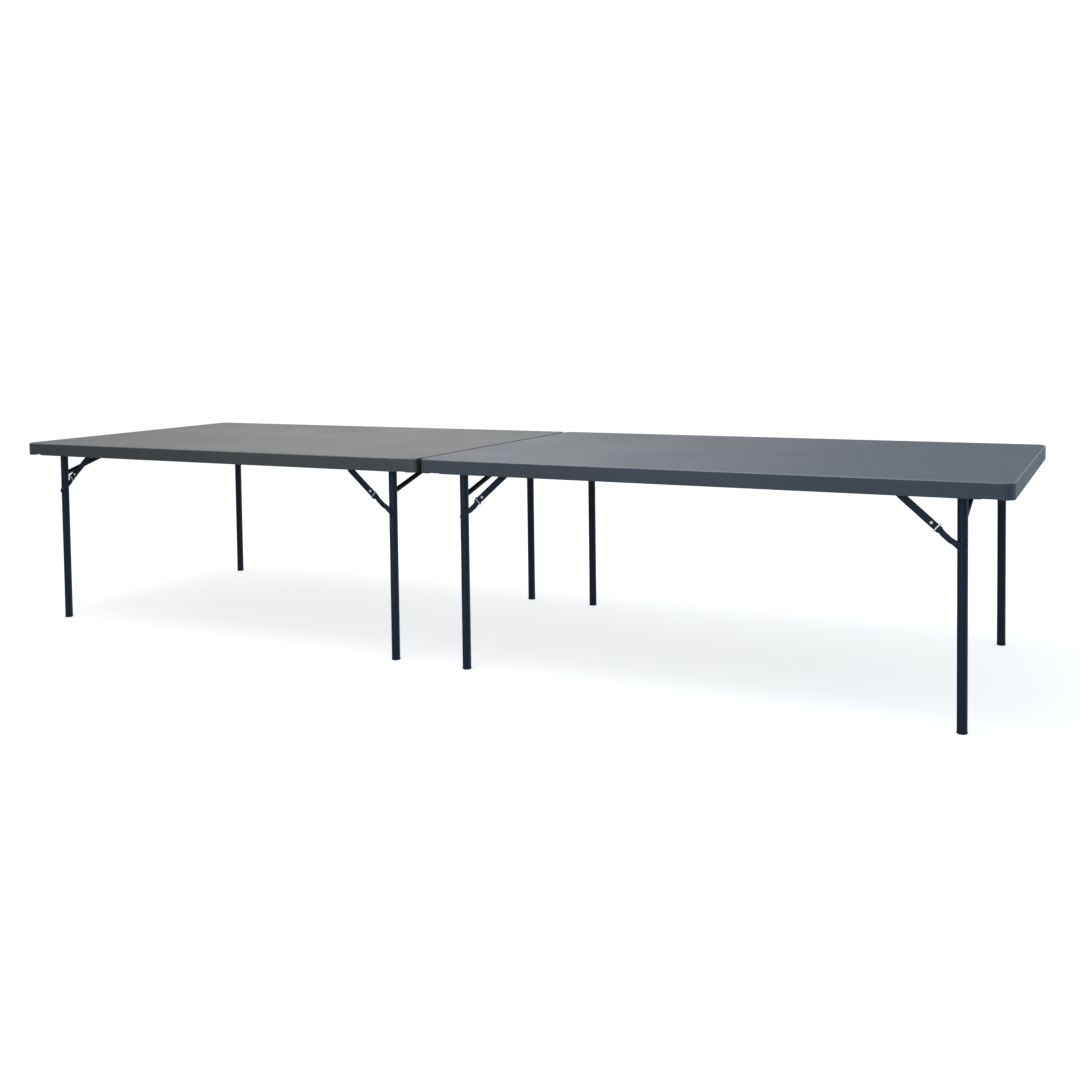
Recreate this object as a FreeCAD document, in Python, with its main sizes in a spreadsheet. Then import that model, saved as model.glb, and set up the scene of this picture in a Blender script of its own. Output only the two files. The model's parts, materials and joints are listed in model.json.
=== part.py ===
import FreeCAD, Part
import os
import re
import Sketcher
from FreeCAD import Placement, Rotation, Vector

# Folding table run: two identical moulded sections stand end to end. Each section has a
# pair of folding leg frames, and every leg is held upright by a two-link folding stay
# with a sliding lock ring. Millimetres, +Z up, origin on the floor under the centre.

SIZES = [
    ("length", 1940, "length of one section"),
    ("width", 1220, "width of a section"),
    ("height", 740, "floor to table surface"),
    ("seam", 5, "gap between the two sections"),
    ("edge_depth", 50, "depth of the moulded skirt"),
    ("panel_thick", 19, "thickness of the panel inside the skirt"),
    ("skirt_wall", 22, "thickness of the skirt"),
    ("corner_round", 34, "plan radius of the corners"),
    ("recess_round", 12, "plan radius inside the skirt"),
    ("top_round", 6, "radius of the upper edge"),
    ("foot_round", 2, "radius of the skirt's lower edge"),
    ("notch_near", 43, "start of the skirt notch from the end"),
    ("notch_far", 92, "end of the skirt notch from the end"),
    ("notch_rise", 4.5, "height of the skirt notch"),
    ("notch_slope", 9, "run of the notch's sloped sides"),
    ("groove_count", 9, "stiffening grooves under the panel"),
    ("groove_span", 1480, "first groove to last"),
    ("groove_length", 860, "length of a groove"),
    ("groove_half", 13, "half width of a groove"),
    ("groove_depth", 6, "depth of a groove"),
    ("inset_end", 145.5, "leg line from the section's end"),
    ("inset_side", 70.5, "leg axis from the section's long side"),
    ("tube_radius", 15, "leg tube outer radius"),
    ("tube_wall", 1.5, "leg tube wall"),
    ("pivot_height", 698, "height of the fold axis"),
    ("cross_radius", 10, "cross tube outer radius"),
    ("journal_radius", 6, "journal at the end of the cross tube"),
    ("strut_radius", 9, "strut tube outer radius"),
    ("strut_foot", 608, "height where a strut leaves its leg"),
    ("strut_reach", 317, "strut run towards the centre line"),
    ("cap_radius", 16, "foot cap outer radius"),
    ("cap_round", 3, "radius of the foot cap's lower edge"),
    ("cap_floor", 5, "height of the foot cap's flange, which the tube stands on"),
    ("plug_height", 24, "top of the foot cap's plug inside the tube"),
    ("plug_wall", 2.5, "foot cap plug wall"),
    ("rail_web", 571, "outer face of the rail's web from the centre line"),
    ("rail_thick", 2, "rail sheet thickness"),
    ("rail_flange", 14, "width of the rail's flange beyond its web"),
    ("rail_drop", 34, "depth of the rail below the panel"),
    ("rail_length", 1870, "length of a rail"),
    ("screw_count", 6, "screws in one rail"),
    ("screw_span", 1740, "first screw to last"),
    ("screw_radius", 2.5, "screw shank"),
    ("screw_head", 5, "screw head radius"),
    ("screw_head_height", 2.2, "screw head height"),
    ("screw_head_round", 1.6, "radius of the screw head's edge"),
    ("screw_bite", 10, "screw length inside the panel"),
    ("stay_reach", 182, "stay pivot from the leg line"),
    ("stay_drop", 160, "leg rivet below the fold axis"),
    ("lower_inner", 555.1, "inner face of the lower link"),
    ("lower_thick", 2.5, "lower link thickness"),
    ("lower_half", 9, "half width of the lower link"),
    ("lower_jog", 3, "sideways jog of the lower link"),
    ("jog_start", 26, "start of the jog from the leg rivet"),
    ("jog_end", 80, "end of the jog from the leg rivet"),
    ("jog_slope", 14, "run of each sloped part of the jog"),
    ("jog_round", 14, "radius at the jog's bends"),
    ("rivet_radius", 3, "leg rivet shank"),
    ("rivet_head", 6.5, "leg rivet head radius"),
    ("rivet_head_height", 1.8, "leg rivet head height"),
    ("upper_inner", 560.1, "inner face of the upper link"),
    ("upper_thick", 2, "upper link sheet thickness"),
    ("upper_depth", 5, "upper link channel depth"),
    ("upper_half", 11, "half width of the upper link"),
    ("upper_tail", 34, "upper link beyond the elbow"),
    ("tail_chamfer", 3, "chamfer at the tail's corners"),
    ("lip_thick", 1.5, "thickness of the upper link's edge lips"),
    ("lip_stop", 14, "end of the lips before the stay pivot"),
    ("elbow_radius", 4, "elbow rivet and stay pivot shank"),
    ("elbow_head", 5.5, "elbow rivet head radius"),
    ("elbow_dome", 2.2, "elbow rivet head height"),
    ("pin_collar", 6.5, "collar radius of the stay pivots"),
    ("side_play", 0.2, "end play beside the links"),
    ("ring_back", 20, "lock ring from the elbow at rest"),
    ("ring_half", 15.5, "half length of the ring across the link"),
    ("ring_inner", 558.2, "inner side of the ring"),
    ("ring_outer", 567, "outer side of the ring"),
    ("ring_band", 1.3, "thickness of the ring's band"),
    ("ring_width", 4, "width of the ring's band"),
    ("ring_round", 2.2, "outer corner radius of the ring"),
    ("clip_place", 350, "seam clip from the centre line"),
    ("clip_width", 45, "seam clip width"),
    ("clip_thick", 2.5, "seam clip thickness"),
    ("clip_rise", 16, "height of the seam clip's arms"),
]

# The stay is straight when the leg stands and doubled flat when it is stowed, which
# settles the length of both links from the two anchor points.
STAY = "sqrt(stay_reach^2 + stay_drop^2)"
DERIVED = {
    "leg_line": "(length / 2 - inset_end)",
    "leg_side": "(width / 2 - inset_side)",
    "underside": "(height - panel_thick)",
    "skirt_foot": "(height - edge_depth)",
    "lower_reach": f"(({STAY} - stay_reach + stay_drop) / 2)",
    "upper_reach": f"(({STAY} + stay_reach - stay_drop) / 2)",
    "elbow_across": f"(({STAY} - stay_reach + stay_drop) / 2 * stay_reach / {STAY})",
    "elbow_height": (
        "(pivot_height - stay_drop"
        f" + ({STAY} - stay_reach + stay_drop) / 2 * stay_drop / {STAY})"
    ),
}

doc = FreeCAD.newDocument("FoldingTable")
sheet = doc.addObject("Spreadsheet::Sheet", "Sizes")
for row, (alias, value, note) in enumerate(SIZES, start=1):
    sheet.set(f"A{row}", str(value))
    sheet.setAlias(f"A{row}", alias)
    sheet.set(f"B{row}", note)
doc.recompute()
NAMES = {alias for alias, value, note in SIZES}
nodes = []


def bind(text):
    """Turn a formula in plain size names into one that refers to the sheet."""
    text = re.sub(r"[a-z]\w*", lambda found: DERIVED.get(found[0], found[0]), str(text))
    return re.sub(r"[a-z]\w*", lambda found: f"Sizes.{found[0]}" if found[0] in NAMES else found[0], text)


def size(text):
    """The present value of a formula."""
    return float(sheet.evalExpression(bind(text)))


def new_body(label):
    body = doc.addObject("PartDesign::Body", label)
    body.Label = label
    body.AllowCompound = True
    nodes.append(body)
    return body


def plane(body, role):
    return [feature for feature in body.Origin.OriginFeatures if feature.Role == role][0]


def new_sketch(body, role, offset="0", rise="0"):
    """A sketch on an origin plane, moved along the plane's normal and up its own Y."""
    sketch = body.newObject("Sketcher::SketchObject", f"{body.Label}_sketch")
    sketch.AttachmentSupport = (plane(body, role), [""])
    sketch.MapMode = "FlatFace"
    sketch.setExpression(".AttachmentOffset.Base.z", bind(offset))
    sketch.setExpression(".AttachmentOffset.Base.y", bind(rise))
    return sketch


def pin_point(sketch, curve, end, across, up):
    for kind, text in (("DistanceX", across), ("DistanceY", up)):
        if size(text) == 0:
            axis = -2 if kind == "DistanceX" else -1
            sketch.addConstraint(Sketcher.Constraint("PointOnObject", curve, end, axis))
            continue
        index = sketch.addConstraint(Sketcher.Constraint(kind, -1, 1, curve, end, size(text)))
        sketch.setExpression(f"Constraints[{index}]", bind(text))


def polygon(sketch, corners):
    """A closed outline whose corners are all dimensioned from the sketch's origin."""
    points = [Vector(size(across), size(up), 0) for across, up in corners]
    first = sketch.GeometryCount
    total = len(points)
    for step in range(total):
        sketch.addGeometry(Part.LineSegment(points[step], points[(step + 1) % total]))
    for step in range(total):
        after = first + (step + 1) % total
        sketch.addConstraint(Sketcher.Constraint("Coincident", first + step, 2, after, 1))
    for step, (across, up) in enumerate(corners):
        pin_point(sketch, first + step, 1, across, up)


def box_outline(sketch, left, right, low, high):
    polygon(sketch, [(left, low), (right, low), (right, high), (left, high)])


def circle(sketch, across, up, radius):
    middle = Vector(size(across), size(up), 0)
    curve = sketch.addGeometry(Part.Circle(middle, Vector(0, 0, 1), size(radius)))
    index = sketch.addConstraint(Sketcher.Constraint("Radius", curve, size(radius)))
    sketch.setExpression(f"Constraints[{index}]", bind(radius))
    pin_point(sketch, curve, 3, across, up)


def pad(body, sketch, depth, midplane=False, backwards=False):
    feature = body.newObject("PartDesign::Pad", f"{body.Label}_pad")
    feature.Profile = sketch
    feature.setExpression("Length", bind(depth))
    feature.Midplane = midplane
    feature.Reversed = backwards
    doc.recompute()
    return feature


def pocket(body, sketch, depth=None, backwards=False):
    """Cut a sketch to a depth, or right through both ways, and make sure that it cut."""
    before = body.Shape.Volume
    feature = body.newObject("PartDesign::Pocket", f"{body.Label}_pocket")
    feature.Profile = sketch
    feature.Reversed = backwards
    if depth is None:
        feature.Type = "ThroughAll"
        feature.Midplane = True
    else:
        feature.setExpression("Length", bind(depth))
    doc.recompute()
    if not body.Shape.Volume < before - 0.01:
        raise ValueError(f"{body.Label}: the pocket cut nothing")
    return feature


def revolve(body, sketch, axis):
    feature = body.newObject("PartDesign::Revolution", f"{body.Label}_turn")
    feature.Profile = sketch
    feature.ReferenceAxis = (sketch, [axis])
    feature.Angle = 360
    doc.recompute()
    return feature


def soften(body, radius, wanted):
    """Fillet the edges of the tip that a test picks out."""
    base = body.Tip
    chosen = [f"Edge{index}" for index, edge in enumerate(base.Shape.Edges, start=1) if wanted(edge)]
    feature = body.newObject("PartDesign::Fillet", f"{body.Label}_fillet")
    feature.Base = (base, chosen)
    feature.setExpression("Radius", bind(radius))
    doc.recompute()


def mirror_pair(body, original):
    """Repeat one feature on the other side of the section's centre line."""
    feature = body.newObject("PartDesign::Mirrored", f"{body.Label}_mirror")
    feature.Originals = [original]
    feature.MirrorPlane = (plane(body, "XZ_Plane"), [""])
    body.Tip = feature
    doc.recompute()


def copy_across(body):
    """Repeat everything made so far on the other side of the section's centre line."""
    feature = body.newObject("PartDesign::Mirrored", f"{body.Label}_mirror")
    feature.TransformMode = "Whole shape"
    feature.MirrorPlane = (plane(body, "XZ_Plane"), [""])
    body.Tip = feature
    doc.recompute()


def place(piece, across="0", up="0", turn=0, tilt=0.0):
    """Stand a piece on its section or leg frame: half turn about Z, tilt about Y."""
    piece.Placement = Placement(Vector(), Rotation(Vector(0, 0, 1), turn) * Rotation(Vector(0, 1, 0), tilt))
    piece.setExpression(".Placement.Base.x", bind(across))
    piece.setExpression(".Placement.Base.z", bind(up))


def upright(length):
    """Edges that run straight up for a given length."""
    def wanted(edge):
        box = edge.BoundBox
        return box.XLength < 0.01 and box.YLength < 0.01 and abs(box.ZLength - length) < 0.01
    return wanted


def at_height(level):
    def wanted(edge):
        return abs(edge.BoundBox.ZMin - level) < 0.01 and abs(edge.BoundBox.ZMax - level) < 0.01
    return wanted


def screw_places():
    for step in range(int(size("screw_count"))):
        across = f"(screw_span * {step} / (screw_count - 1) - screw_span / 2)"
        yield across, "(rail_web + rail_flange / 2 + 1)"


# ---- one moulded section ------------------------------------------------------------

def make_tabletop(label, across):
    """A panel with a deep skirt all round, blow moulded in one piece."""
    body = new_body(label)
    outline = new_sketch(body, "XY_Plane", "skirt_foot")
    box_outline(outline, "-length / 2", "length / 2", "-width / 2", "width / 2")
    pad(body, outline, "edge_depth")
    soften(body, "corner_round", upright(size("edge_depth")))
    soften(body, "top_round", at_height(size("height")))
    soften(body, "foot_round", at_height(size("skirt_foot")))

    recess = new_sketch(body, "XY_Plane", "skirt_foot")
    inner_x = "length / 2 - skirt_wall"
    inner_y = "width / 2 - skirt_wall"
    box_outline(recess, f"-({inner_x})", inner_x, f"-({inner_y})", inner_y)
    pocket(body, recess, "edge_depth - panel_thick", backwards=True)
    soften(body, "recess_round", upright(size("edge_depth - panel_thick")))

    notches = new_sketch(body, "XZ_Plane")
    for side in ("", "-"):
        foot = "(skirt_foot - 1)"
        head = "(skirt_foot + notch_rise)"
        polygon(notches, [
            (f"{side}(length / 2 - notch_near)", foot),
            (f"{side}(length / 2 - notch_near - notch_slope)", head),
            (f"{side}(length / 2 - notch_far + notch_slope)", head),
            (f"{side}(length / 2 - notch_far)", foot),
        ])
    pocket(body, notches)

    groove = new_sketch(body, "XY_Plane", "underside")
    box_outline(groove, "-groove_span / 2 - groove_half", "-groove_span / 2 + groove_half",
                "-groove_length / 2", "groove_length / 2")
    cut = pocket(body, groove, "groove_depth", backwards=True)
    grooves = body.newObject("PartDesign::LinearPattern", f"{label}_grooves")
    grooves.Originals = [cut]
    grooves.Direction = (groove, ["H_Axis"])
    grooves.setExpression("Length", bind("groove_span"))
    grooves.setExpression("Occurrences", bind("groove_count"))
    body.Tip = grooves
    doc.recompute()

    pilots = new_sketch(body, "XY_Plane", "underside")
    for side in ("", "-"):
        for place_x, place_y in screw_places():
            circle(pilots, place_x, side + place_y, "screw_radius + 0.05")
    pocket(body, pilots, "screw_bite + 1", backwards=True)
    place(body, across)


def make_rail(label, across, turn):
    """An angle section screwed under the panel; its web carries the frame and stay pivots."""
    body = new_body(label)
    section = new_sketch(body, "YZ_Plane")
    web = "rail_web"
    inner = "(rail_web - rail_thick)"
    edge = "(rail_web + rail_flange)"
    polygon(section, [
        (inner, "underside - rail_drop"), (web, "underside - rail_drop"),
        (web, "underside - rail_thick"), (edge, "underside - rail_thick"),
        (edge, "underside"), (inner, "underside"),
    ])
    pad(body, section, "rail_length", midplane=True)
    pivots = new_sketch(body, "XZ_Plane", "-(rail_web + 1)")
    for side in ("", "-"):
        circle(pivots, f"{side}leg_line", "pivot_height", "journal_radius + 0.05")
        circle(pivots, f"{side}(leg_line - stay_reach)", "pivot_height", "elbow_radius + 0.1")
    pocket(body, pivots, "rail_thick + 2", backwards=True)
    holes = new_sketch(body, "XY_Plane", "underside")
    for place_x, place_y in screw_places():
        circle(holes, place_x, place_y, "screw_radius + 0.05")
    pocket(body, holes, "rail_thick")
    place(body, across, turn=turn)


def make_rail_screws(label, across):
    """Pan-head screws through the rail flanges into the panel, twelve to a section."""
    body = new_body(label)
    flange_foot = "(underside - rail_thick)"
    head_foot = f"({flange_foot} - screw_head_height)"
    for base, depth, radius in ((head_foot, "screw_head_height", "screw_head"),
                                (flange_foot, "rail_thick + screw_bite", "screw_radius")):
        rounds = new_sketch(body, "XY_Plane", base)
        for side in ("", "-"):
            for place_x, place_y in screw_places():
                circle(rounds, place_x, side + place_y, radius)
        pad(body, rounds, depth)
    soften(body, "screw_head_round", at_height(size(head_foot)))
    place(body, across)


def make_stay_pivots(label, across, turn):
    """The pins on both rail webs that the upper links of one leg frame turn on."""
    body = new_body(label)
    turned = new_sketch(body, "YZ_Plane", "leg_line - stay_reach", "pivot_height")
    back = "(rail_web - rail_thick)"
    inside = "(upper_inner - side_play)"
    outside = "(upper_inner + upper_thick + side_play)"
    polygon(turned, [
        (f"{inside} - 1.4", "0"), (f"{inside} - 1.4", "pin_collar - 1.5"), (f"{inside} - 0.7", "pin_collar"),
        (inside, "pin_collar"), (inside, "elbow_radius"), (outside, "elbow_radius"), (outside, "pin_collar"),
        (back, "pin_collar"), (back, "elbow_radius"), ("rail_web", "elbow_radius"),
        ("rail_web", "pin_collar - 0.5"), ("rail_web + 1.5", "pin_collar - 1.5"), ("rail_web + 1.5", "0"),
    ])
    mirror_pair(body, revolve(body, turned, "H_Axis"))
    place(body, across, turn=turn)


def make_seam_clips(label):
    """Spring-steel channels pushed up over the two skirts that meet at the seam."""
    body = new_body(label)
    half = "(seam / 2 + skirt_wall)"
    outer = f"({half} + clip_thick + 0.1)"
    profile = new_sketch(body, "XZ_Plane", "-clip_place")
    polygon(profile, [
        (f"-{outer}", "skirt_foot - clip_thick"), (outer, "skirt_foot - clip_thick"),
        (outer, "skirt_foot + clip_rise"), (f"({half} + 0.1)", "skirt_foot + clip_rise"),
        (f"({half} + 0.1)", "skirt_foot"), (f"-({half} + 0.1)", "skirt_foot"),
        (f"-({half} + 0.1)", "skirt_foot + clip_rise"), (f"-{outer}", "skirt_foot + clip_rise"),
    ])
    mirror_pair(body, pad(body, profile, "clip_width", midplane=True))


# ---- one folding leg frame ----------------------------------------------------------
# Each frame is drawn with its leg line at X = 0 and the section's middle towards +X,
# then turned half round for the far end.

def make_leg(label, across, turn, side):
    """A straight round tube with the cross tube's hole and a rivet hole in its outer wall."""
    body = new_body(label)
    ring = new_sketch(body, "XY_Plane", "cap_floor")
    for radius in ("tube_radius", "tube_radius - tube_wall"):
        circle(ring, "0", f"{side}leg_side", radius)
    pad(body, ring, "pivot_height + tube_radius - cap_floor")
    through = new_sketch(body, "XZ_Plane")
    circle(through, "0", "pivot_height", "cross_radius + 0.05")
    pocket(body, through)
    rivet = new_sketch(body, "XZ_Plane", f"-({side}leg_side)")
    circle(rivet, "0", "pivot_height - stay_drop", "rivet_radius + 0.1")
    pocket(body, rivet, "tube_radius", backwards=side == "-")
    place(body, across, turn=turn)


def make_cross_tube(label, across, turn):
    """The tube that the frame folds about; its turned-down ends run in the rails."""
    body = new_body(label)
    profile = new_sketch(body, "YZ_Plane", rise="pivot_height")
    shoulder = "(leg_side + tube_radius)"
    plug = "(leg_side - tube_radius)"
    tip = "(rail_web + 2)"
    polygon(profile, [
        (f"-{tip}", "0"), (f"-{tip}", "journal_radius"), (f"-{shoulder}", "journal_radius"),
        (f"-{shoulder}", "cross_radius"), (shoulder, "cross_radius"),
        (shoulder, "journal_radius"), (tip, "journal_radius"), (tip, "0"), (plug, "0"),
        (plug, "cross_radius - tube_wall"), (f"-{plug}", "cross_radius - tube_wall"), (f"-{plug}", "0"),
    ])
    revolve(body, profile, "H_Axis")
    place(body, across, turn=turn)


def make_struts(label, across, turn):
    """Two sloping tubes from the legs to the cross tube, coped to both."""
    rise = "(pivot_height - strut_foot)"
    run = Vector(0, -size("strut_reach"), size(rise))
    aim = Rotation(Vector(0, 0, 1), run)
    start = Vector(0, size("leg_side"), size("strut_foot"))
    tubes = []
    for radius in ("strut_radius", "strut_radius - tube_wall"):
        tube = doc.addObject("Part::Cylinder", f"{label}_tube")
        tube.setExpression("Radius", bind(radius))
        tube.setExpression("Height", bind(f"sqrt(strut_reach^2 + {rise}^2)"))
        tube.Placement = Placement(start, aim)
        tubes.append(tube)
    leg = doc.addObject("Part::Cylinder", f"{label}_leg_cope")
    leg.setExpression("Radius", bind("tube_radius"))
    leg.setExpression("Height", bind("pivot_height"))
    leg.setExpression(".Placement.Base.y", bind("leg_side"))
    cross = doc.addObject("Part::Cylinder", f"{label}_cross_cope")
    cross.setExpression("Radius", bind("cross_radius"))
    cross.setExpression("Height", bind("leg_side"))
    cross.Placement = Placement(Vector(), Rotation(Vector(1, 0, 0), -90))
    cross.setExpression(".Placement.Base.z", bind("pivot_height"))
    strut = tubes[0]
    for cutter in (tubes[1], leg, cross):
        cut = doc.addObject("Part::Cut", f"{label}_cut")
        cut.Base = strut
        cut.Tool = cutter
        strut = cut
    other = doc.addObject("Part::Mirroring", f"{label}_other")
    other.Source = strut
    other.Base = Vector()
    other.Normal = Vector(0, 1, 0)
    pair = doc.addObject("Part::Compound", label)
    pair.Label = label
    pair.Links = [strut, other]
    nodes.append(pair)
    place(pair, across, turn=turn)
    doc.recompute()


def make_foot_caps(label, across, turn):
    """Round plugs pushed into the lower ends of both legs, with a flange that they stand on."""
    body = new_body(label)
    profile = new_sketch(body, "XZ_Plane", "-leg_side")
    bore = "(tube_radius - tube_wall - 0.05)"
    polygon(profile, [
        ("0", "0"), ("cap_radius", "0"), ("cap_radius", "cap_floor"), (bore, "cap_floor"),
        (bore, "plug_height - 2"), (f"{bore} - 1.5", "plug_height"), (f"{bore} - plug_wall", "plug_height"),
        (f"{bore} - plug_wall", "cap_floor"), ("0", "cap_floor"),
    ])
    revolve(body, profile, "V_Axis")
    soften(body, "cap_round", at_height(0))
    copy_across(body)
    place(body, across, turn=turn)


def make_leg_rivets(label, across, turn):
    """The headed rivets that the lower links turn on, one in each leg's outer wall."""
    body = new_body(label)
    profile = new_sketch(body, "YZ_Plane", rise="pivot_height - stay_drop")
    face = "(lower_inner + lower_thick + side_play)"
    crown = f"({face} + rivet_head_height)"
    polygon(profile, [
        ("leg_side + 9", "0"), ("leg_side + 9", "rivet_radius + 2"), ("leg_side + 11", "rivet_radius + 2"),
        ("leg_side + 11", "rivet_radius"), (face, "rivet_radius"), (face, "rivet_head"),
        (f"{crown} - 0.9", "rivet_head"), (crown, "rivet_head - 2"), (crown, "0"),
    ])
    mirror_pair(body, revolve(body, profile, "H_Axis"))
    place(body, across, turn=turn)


# ---- one pair of folding stays ------------------------------------------------------
# A stay is drawn along its own X axis and tilted into place. The lower link starts at
# the leg rivet, the upper link and all it carries start at the elbow.

def make_lower_links(label, across, turn, tilt):
    """Flat bars with a shallow sideways jog, on the outer side of both legs."""
    body = new_body(label)
    outline = new_sketch(body, "XZ_Plane", "-lower_inner")
    end = "(lower_reach + lower_half)"
    dip, climb = "(jog_start + jog_slope)", "(jog_end - jog_slope)"
    polygon(outline, [
        ("-lower_half", "-lower_half"), ("jog_start", "-lower_half"), (dip, "-lower_half - lower_jog"),
        (climb, "-lower_half - lower_jog"), ("jog_end", "-lower_half"), (end, "-lower_half"),
        (end, "lower_half"), ("jog_end", "lower_half"), (climb, "lower_half - lower_jog"),
        (dip, "lower_half - lower_jog"), ("jog_start", "lower_half"), ("-lower_half", "lower_half"),
    ])
    circle(outline, "0", "0", "rivet_radius + 0.05")
    pad(body, outline, "lower_thick", backwards=True)

    def ends(edge):
        box = edge.BoundBox
        far = box.XMin < -size("lower_half") + 0.1 or box.XMax > size(end) - 0.1
        return far and box.XLength < 0.01 and box.ZLength < 0.01

    def bends(edge):
        box = edge.BoundBox
        inside = size("jog_start") - 1 < box.XMin < size("jog_end") + 1
        return inside and box.XLength < 0.01 and box.ZLength < 0.01

    soften(body, "lower_half - 0.1", ends)
    soften(body, "jog_round", bends)
    copy_across(body)
    place(body, across, "pivot_height - stay_drop", turn, tilt)


def make_upper_links(label, across, turn, tilt):
    """Shallow channels that carry on past the elbow as a short tail."""
    body = new_body(label)
    outline = new_sketch(body, "XZ_Plane", "-upper_inner")
    end = "(upper_reach + upper_half)"
    polygon(outline, [
        ("-upper_tail", "-upper_half + tail_chamfer"), ("-upper_tail + tail_chamfer", "-upper_half"),
        (end, "-upper_half"), (end, "upper_half"), ("-upper_tail + tail_chamfer", "upper_half"),
        ("-upper_tail", "upper_half - tail_chamfer"),
    ])
    circle(outline, "0", "0", "elbow_radius + 0.05")
    circle(outline, "upper_reach", "0", "elbow_radius + 0.05")
    pad(body, outline, "upper_thick", backwards=True)

    def ends(edge):
        box = edge.BoundBox
        return box.XMin > size(end) - 0.1 and box.XLength < 0.01 and box.ZLength < 0.01

    soften(body, "upper_half - 0.1", ends)
    lips = new_sketch(body, "XZ_Plane", "-(upper_inner + upper_thick)")
    for low, high in (("-upper_half", "-upper_half + lip_thick"), ("upper_half - lip_thick", "upper_half")):
        box_outline(lips, "-upper_tail + tail_chamfer", "upper_reach - lip_stop", low, high)
    pad(body, lips, "upper_depth - upper_thick", backwards=True)
    copy_across(body)
    place(body, across, "elbow_height", turn, tilt)


def make_elbow_rivets(label, across, turn, tilt):
    """Zinc-plated domed rivets at the elbows, set in the upper links."""
    body = new_body(label)
    profile = new_sketch(body, "YZ_Plane")
    face = "(upper_inner + upper_thick)"
    polygon(profile, [
        ("upper_inner", "0"), ("upper_inner", "elbow_radius"), (face, "elbow_radius"), (face, "elbow_head"),
        (f"{face} + elbow_dome * 0.4", "elbow_head"), (f"{face} + elbow_dome * 0.75", "elbow_head * 0.8"),
        (f"{face} + elbow_dome * 0.95", "elbow_head * 0.5"), (f"{face} + elbow_dome", "0"),
    ])
    mirror_pair(body, revolve(body, profile, "H_Axis"))
    place(body, across, "elbow_height", turn, tilt)


def make_lock_ring(label, across, turn, tilt, side):
    """A flat band bent into a long loop round the tail of one upper link."""
    body = new_body(label)
    loop = new_sketch(body, "YZ_Plane", "-ring_back")
    box_outline(loop, f"{side}ring_inner", f"{side}ring_outer", "-ring_half", "ring_half")
    box_outline(loop, f"{side}(ring_inner + ring_band)", f"{side}(ring_outer - ring_band)",
                "-ring_half + ring_band", "ring_half - ring_band")
    pad(body, loop, "ring_width", midplane=True)

    def outer(edge):
        box = edge.BoundBox
        far = max(abs(box.ZMin), abs(box.ZMax)) > size("ring_half") - 0.1
        return far and box.YLength < 0.01 and box.ZLength < 0.01

    soften(body, "ring_round", outer)
    place(body, across, "elbow_height", turn, tilt)


# ---- the whole run ------------------------------------------------------------------

stay_tilt = -size("atan(stay_drop / stay_reach)")
for section, away in (("left", "-"), ("right", "")):
    centre = f"{away}(length + seam) / 2"
    make_tabletop(f"{section}_tabletop", centre)
    make_rail(f"{section}_rail_rear", centre, 0)
    make_rail(f"{section}_rail_front", centre, 180)
    make_rail_screws(f"{section}_rail_screws", centre)
    for turn, towards in ((0, "-"), (180, "+")):
        outer_end = (section == "left") == (turn == 0)
        frame = f"{section}_{'outer' if outer_end else 'inner'}"
        leg_line = f"{centre} {towards} leg_line"
        elbow = f"{leg_line} {'+' if turn == 0 else '-'} elbow_across"
        for name, side in (("rear", ""), ("front", "-")):
            face = name if turn == 0 else {"rear": "front", "front": "rear"}[name]
            make_leg(f"{frame}_leg_{face}", leg_line, turn, side)
            make_lock_ring(f"{frame}_ring_{face}", elbow, turn, stay_tilt, side)
        make_cross_tube(f"{frame}_cross_tube", leg_line, turn)
        make_struts(f"{frame}_struts", leg_line, turn)
        make_foot_caps(f"{frame}_foot_caps", leg_line, turn)
        make_leg_rivets(f"{frame}_leg_rivets", leg_line, turn)
        make_lower_links(f"{frame}_lower_links", leg_line, turn, stay_tilt)
        make_upper_links(f"{frame}_upper_links", elbow, turn, stay_tilt)
        make_elbow_rivets(f"{frame}_elbow_rivets", elbow, turn, stay_tilt)
        make_stay_pivots(f"{frame}_stay_pivots", centre, 180 - turn)
make_seam_clips("seam_clips")

doc.recompute()
for item in doc.Objects:
    if "Invalid" in item.State or "Error" in item.State:
        raise ValueError(f"{item.Label}: {item.State}")
for node in nodes:
    if node.Shape.isNull() or not node.Shape.isValid():
        raise ValueError(f"{node.Label}: no valid shape")

os.makedirs("parts", exist_ok=True)
for node in nodes:
    node.Shape.exportStep(f"parts/{node.Label}.step")
    box = node.Shape.BoundBox
    print(f"{node.Label:26s} solids {len(node.Shape.Solids):2d}  volume {node.Shape.Volume / 1000:10.2f} cm3"
          f"  x {box.XMin:8.1f} {box.XMax:8.1f}  y {box.YMin:7.1f} {box.YMax:7.1f}"
          f"  z {box.ZMin:6.1f} {box.ZMax:6.1f}")
print(len(nodes), "nodes")
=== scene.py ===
import json
import math

import bmesh
import bpy
from mathutils import Matrix, Vector


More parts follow.
